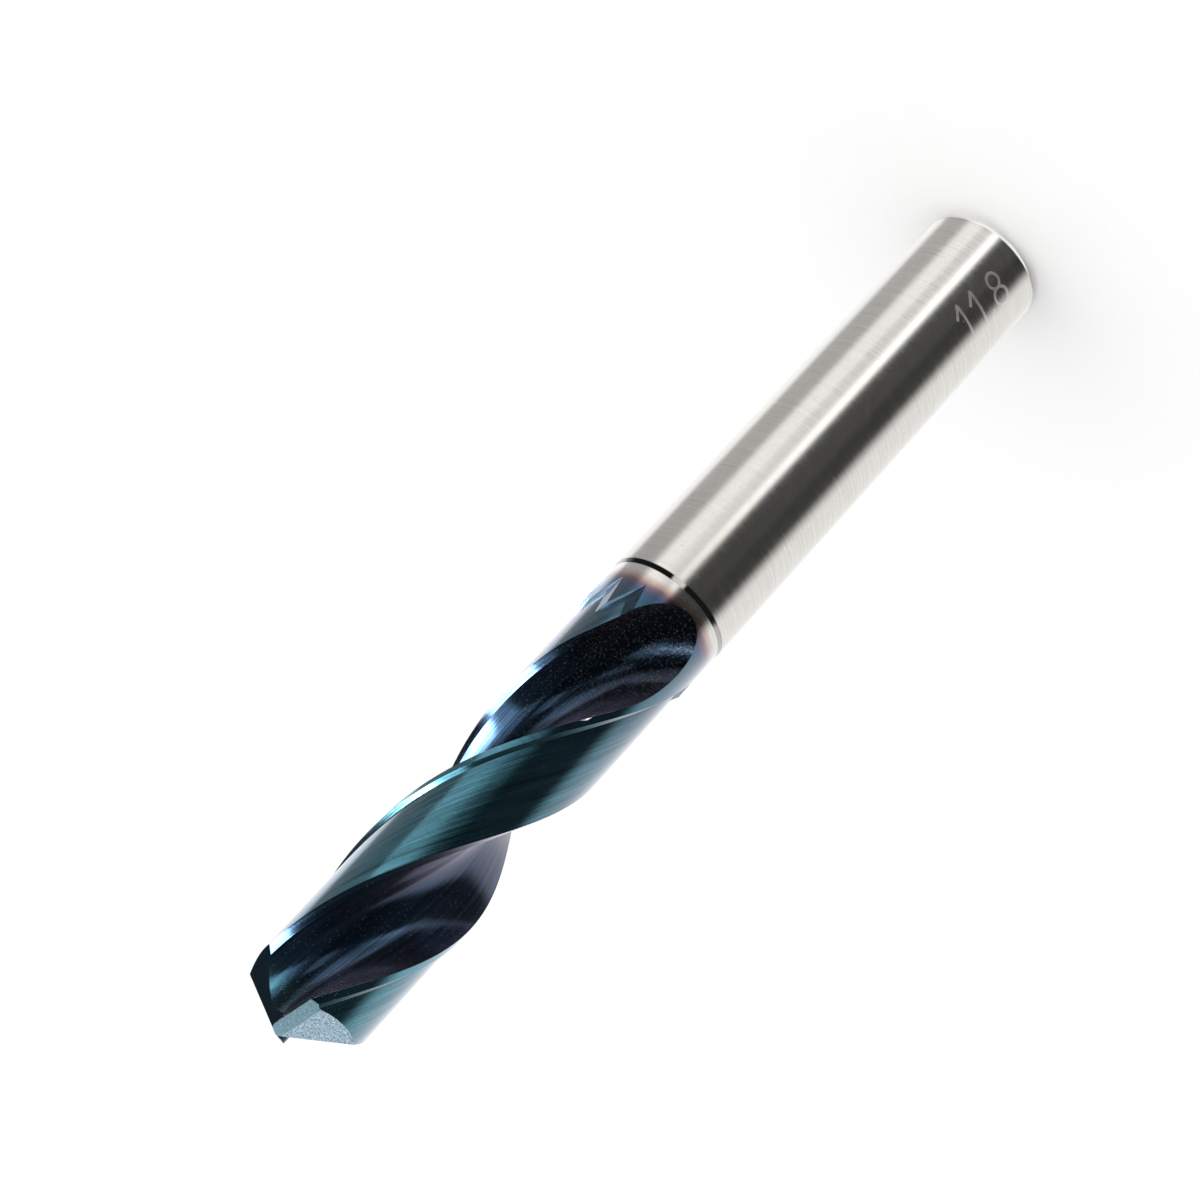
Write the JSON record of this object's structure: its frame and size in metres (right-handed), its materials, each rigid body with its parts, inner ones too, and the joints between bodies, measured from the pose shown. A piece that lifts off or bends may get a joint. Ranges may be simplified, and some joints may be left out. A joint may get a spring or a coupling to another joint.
{
  "type": "stub drill bit",
  "caption": "Solid carbide stub drill standing on its shank end: plain round shank, short bevelled shoulder, twisted flutes with margins and cleared lands, self-centring four-facet point.",
  "frame": {"origin": "centre of the flat shank end that the drill stands on", "axes": "+Z along the drill's axis to the point; -Y towards the outer corner of the first cutting edge"},
  "size_m": [0.012, 0.012, 0.102],
  "materials": {
    "coated_carbide": "satin ground carbide, bright on the shank and with a dark blue-green coating on the fluted body"
  },
  "bodies": {
    "root": {"drill_bit": "coated_carbide"}
  },
  "joints": []
}
